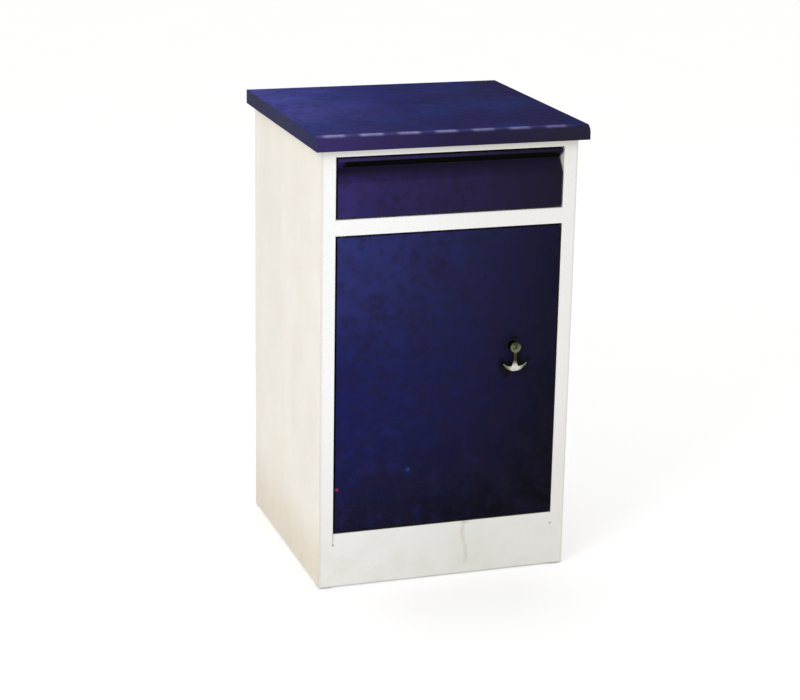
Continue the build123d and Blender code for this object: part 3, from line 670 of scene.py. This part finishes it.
def build_laminate():
    """The blue sheet, its rounded edge very slightly wavy from side to side as a heat-formed edge is."""
    bm = bmesh.new()
    width = top_high.x - top_low.x
    count = round(width / (2 * MM))
    waviness = 0.12 * MM
    rings = []
    for i in range(count + 1):
        x = top_low.x + width * i / count
        dip = waviness * (1 + math.sin(2 * math.pi * x / highlight_pitch))
        rings.append([(x, y, z) for y, z in laminate_profile(dip)])
    skin(bm, rings)
    mesh = mesh_of("top_sheet", bm)
    finish = finishes["blue_laminate"]
    sheet = add_piece("top_sheet", mesh, finish, "carcass", ["top_laminate"])
    split_edges(sheet, 40)


# ---------------------------------------------------------------- anchor handle and its lock

hub = Vector((handle_centre.x, 0, handle_centre.z))
hub_radius = anchor_high.z - hub.z
hub_face = anchor_low.y
plug_radius = (plug_high.x - plug_low.x) / 2
plug_play = 0.05 * MM
neck_radius = 6 * MM
bush_height = 0.9 * MM
arm_middle = front_y - 13.25 * MM
arm_half_depth = 3.2 * MM
draft = 1.4 * MM
to_back = Vector((0, 1, 0))


def add_crescent(bm):
    """The anchor's arms: one curved bar that thins evenly from its crown to its two points."""
    rim = draft / 2
    half_width = (anchor_high.x - anchor_low.x) / 2 - rim
    drop = hub.z - anchor_low.z - rim
    tip_drop = 0.67 * (hub.z - anchor_low.z)
    tip_half = 0.8 * MM
    crown_half = 4.5 * MM
    # the outer edge is a circle through both points and the crown's foot
    centre_drop = (half_width ** 2 + tip_drop ** 2 - drop ** 2) / (2 * (tip_drop - drop))
    radius = drop - centre_drop
    reach = math.atan2(half_width, tip_drop - centre_drop)
    count = 40
    rings = []
    for i in range(count + 1):
        share = 2 * i / count - 1
        turn = share * reach
        outward = Vector((math.sin(turn), 0, -math.cos(turn)))
        half = tip_half + (crown_half - tip_half) * (1 - abs(share) ** 1.4)
        centre = hub + Vector((0, arm_middle, -centre_drop)) + outward * (radius - half)
        rings.append(oval(centre, outward, to_back, half, arm_half_depth * (1 - 0.45 * share ** 2), draft))
    skin(bm, rings)


def add_shank(bm):
    """The bar from the hub to the crown: narrow at its waist and flared where it meets the arms."""
    drop = hub.z - anchor_low.z
    waist = 2.7 * MM
    flare = 4.6 * MM
    count = 18
    rings = []
    for i in range(count + 1):
        share = i / count
        z = hub.z - 2 * MM - (drop - 8 * MM) * share
        half = waist + 1.2 * MM * (1 - share) ** 4 + flare * (2 * max(0, share - 0.5)) ** 2
        centre = Vector((hub.x, arm_middle, z))
        depth = arm_half_depth * (0.9 + 0.05 * share)
        rings.append(oval(centre, Vector((1, 0, 0)), to_back, half, depth, draft))
    skin(bm, rings)


def hub_outline():
    """Section (radius, y) of the turned boss: socket for the lock, rounded rim, groove and neck."""
    rim = hub_radius - 1.6 * MM
    groove = hub_radius - 0.6 * MM
    bush_face = front_y - bush_height
    socket = plug_radius + plug_play
    return [
        (socket, plug_high.y + 0.1 * MM),
        (socket, hub_face + 0.5 * MM),
        (socket + 0.8 * MM, hub_face + 0.15 * MM),
        (rim, hub_face),
        (hub_radius - 0.7 * MM, hub_face + 0.35 * MM),
        (hub_radius - 0.15 * MM, hub_face + 1.2 * MM),
        (hub_radius, hub_face + 2.4 * MM),
        (hub_radius, bush_face - 6.5 * MM),
        (groove, bush_face - 5.8 * MM),
        (groove, bush_face - 4.8 * MM),
        (hub_radius, bush_face - 4.1 * MM),
        (hub_radius, bush_face),
        (neck_radius, bush_face),
        (neck_radius, anchor_high.y),
    ]


def build_anchor():
    """A cast anchor in one piece: a round boss, a waisted shank and a crescent."""
    bm = bmesh.new()
    add_crescent(bm)
    add_shank(bm)
    turn_outline(bm, hub_outline(), 72)
    mesh = mesh_of("anchor_casting", bm)
    finish = finishes["handle_chrome"]
    casting = add_piece("anchor_casting", mesh, finish, "handle", ["anchor_handle"])
    blended = casting.modifiers.new("one_casting", "REMESH")
    blended.mode = "VOXEL"
    blended.voxel_size = 0.35 * MM
    blended.use_smooth_shade = True
    softened = casting.modifiers.new("cast_fillets", "SMOOTH")
    softened.factor = 0.5
    softened.iterations = 4


def build_plug():
    """The lock's plug: a bevelled face with a keyway that has a side ward."""
    chamfer = 0.5 * MM
    slot_half = 0.8 * MM
    slot_end = 3.2 * MM
    ward_side = 1.5 * MM
    ward_half = 0.7 * MM
    keyway_depth = 6 * MM
    bm = bmesh.new()
    turn_outline(bm, [
        (plug_radius - chamfer, plug_low.y),
        (plug_radius, plug_low.y + chamfer),
        (plug_radius, plug_high.y),
    ], 64)
    plug = bpy.data.objects.new("lock_plug_face", mesh_of("lock_plug_face", bm, smooth=False))
    keyway = [
        (-slot_half, -slot_end), (slot_half, -slot_end), (slot_half, -ward_half), (ward_side, -ward_half),
        (ward_side, ward_half), (slot_half, ward_half), (slot_half, slot_end), (-slot_half, slot_end),
    ]
    bm = bmesh.new()
    skin(bm, [
        [(hub.x + u, y, hub.z + v) for u, v in keyway]
        for y in (plug_low.y - chamfer, plug_low.y + keyway_depth)
    ])
    cutter = bpy.data.objects.new("keyway_cutter", mesh_of("keyway_cutter", bm, smooth=False))
    for shape in (plug, cutter):
        bpy.context.scene.collection.objects.link(shape)
    cut = plug.modifiers.new("keyway", "BOOLEAN")
    cut.operation = "DIFFERENCE"
    cut.solver = "EXACT"
    cut.object = cutter
    bpy.context.view_layer.update()
    shaped = bpy.data.meshes.new_from_object(plug.evaluated_get(bpy.context.evaluated_depsgraph_get()))
    for shape in (plug, cutter):
        bpy.data.objects.remove(shape)
    for face in shaped.polygons:
        face.use_smooth = True
    piece = add_piece("lock_plug_face", shaped, finishes["lock_metal"], "lock", ["lock_plug"])
    split_edges(piece, 30)


# ---------------------------------------------------------------- filled seams of the front frame

def build_seam_fillers():
    """Painted-over filler where the rails and the plinth meet the stiles' rounded edges.

    On the left it stops short of the plinth's top, where that seam is still open."""
    behind = 0.02 * MM
    steps = 8
    rail_runs = [
        (rail_low.z + bend, rail_high.z - bend),
        (upper_rail_low.z + bend, upper_rail_high.z - bend),
    ]
    bm = bmesh.new()
    for side, plinth_end in ((-1, plinth_high.z - seam_open), (1, plinth_high.z - bend)):
        section = [(side * opening, front_y + behind), (side * opening, front_y + bend)]
        for k in range(1, steps):
            turn = math.pi / 2 * k / steps
            section.append((
                side * (opening + bend * (1 - math.cos(turn))),
                front_y + bend * (1 - math.sin(turn)) + behind,
            ))
        section.append((side * (opening + bend), front_y + behind))
        for low, high in [(plinth_low.z + bend, plinth_end), *rail_runs]:
            skin(bm, [[(x, y, z) for x, y in section] for z in (low, high)])
    mesh = mesh_of("seam_filler", bm, smooth=False)
    add_piece("seam_filler", mesh, plinth_white, "carcass")


# ---------------------------------------------------------------- floor, light and camera

def area_light(name, place, aim, size, power, colour=(1, 1, 1)):
    lamp = bpy.data.lights.new(name, "AREA")
    lamp.size = size
    lamp.energy = power
    lamp.color = colour
    holder = bpy.data.objects.new(name, lamp)
    holder.location = place
    holder.rotation_mode = "QUATERNION"
    holder.rotation_quaternion = (Vector(aim) - Vector(place)).to_track_quat("-Z", "Y")
    bpy.context.scene.collection.objects.link(holder)


def build_floor():
    """A pale floor that shows only dimly in glossy surfaces, as a studio with dark walls would."""
    bm = bmesh.new()
    bmesh.ops.create_circle(bm, cap_ends=True, radius=30, segments=96)
    floor = bpy.data.objects.new("floor", mesh_of("floor", bm, smooth=False))
    bpy.context.scene.collection.objects.link(floor)
    graph = Finish("floor_paint")
    paint = graph.mix(graph.noise(3, detail=2.0), (0.93, 0.93, 0.93), (0.95, 0.95, 0.95))
    glossy = graph.node("ShaderNodeLightPath").outputs["Is Glossy Ray"]
    colour = graph.mix(glossy, paint, (0.30, 0.30, 0.30))
    glow = graph.mix(glossy, (0.17, 0.17, 0.17), (0, 0, 0))
    relief = graph.bump(graph.noise(40), 0.1 * MM)
    floor.data.materials.append(graph.end(
        colour, 0.9, relief, Specular_IOR_Level=0.05, Emission_Color=glow, Emission_Strength=1.0
    ))


def build_world():
    """White light from all round, warmer from the left, and much dimmer where glossy surfaces mirror it."""
    world = bpy.data.worlds.new("studio")
    world.use_nodes = True
    graph = Graph(world.node_tree, "Generated")
    background = world.node_tree.nodes["Background"]
    warm = graph.span(graph.axis("X"), -0.1, -0.9)
    lit = graph.mix(warm, (0.87, 0.875, 0.89), (0.97, 0.93, 0.85))
    mirrored = graph.mix(graph.span(graph.axis("Y"), -0.3, 0.3), (0.45, 0.45, 0.45), (0.08, 0.08, 0.08))
    rays = graph.node("ShaderNodeLightPath")
    seen = graph.mix(rays.outputs["Is Glossy Ray"], lit, mirrored)
    graph.feed(background.inputs["Color"], graph.mix(rays.outputs["Is Camera Ray"], seen, (1, 1, 1)))
    bpy.context.scene.world = world


def build_lights():
    """One soft key light from the left front, and a weaker, warmer one farther round to the left."""
    area_light("key", (-1.6, -1.5, 1.7), (0, 0, 0.5), size=0.9, power=12.5)
    area_light("side", (-3.0, -0.6, 1.6), (0, 0, 0.4), size=1.6, power=4, colour=(1.0, 0.95, 0.88))


def build_camera():
    """A long lens, left of the cabinet and above its top, turned right, tipped down and slightly rolled."""
    place = (-1.2109, -3.5824, 1.4975)
    yaw = math.radians(18.459)
    pitch = math.radians(16.741)
    roll = math.radians(1.048)
    ahead = Vector((math.sin(yaw) * math.cos(pitch), math.cos(yaw) * math.cos(pitch), -math.sin(pitch)))
    level_right = Vector((math.cos(yaw), -math.sin(yaw), 0))
    level_up = level_right.cross(ahead)
    right = level_right * math.cos(roll) + level_up * math.sin(roll)
    up = level_up * math.cos(roll) - level_right * math.sin(roll)
    data = bpy.data.cameras.new("camera")
    data.sensor_width = 36
    data.lens = 96.65
    data.clip_end = 100
    camera = bpy.data.objects.new("camera", data)
    turn = Matrix((right, up, -ahead)).transposed()
    camera.matrix_world = Matrix.Translation(place) @ turn.to_4x4()
    bpy.context.scene.collection.objects.link(camera)
    bpy.context.scene.camera = camera


build_laminate()
build_anchor()
build_plug()
build_seam_fillers()
build_floor()
build_world()
build_lights()
build_camera()
bpy.context.scene.view_settings.view_transform = "Standard"

bpy.context.view_layer.update()
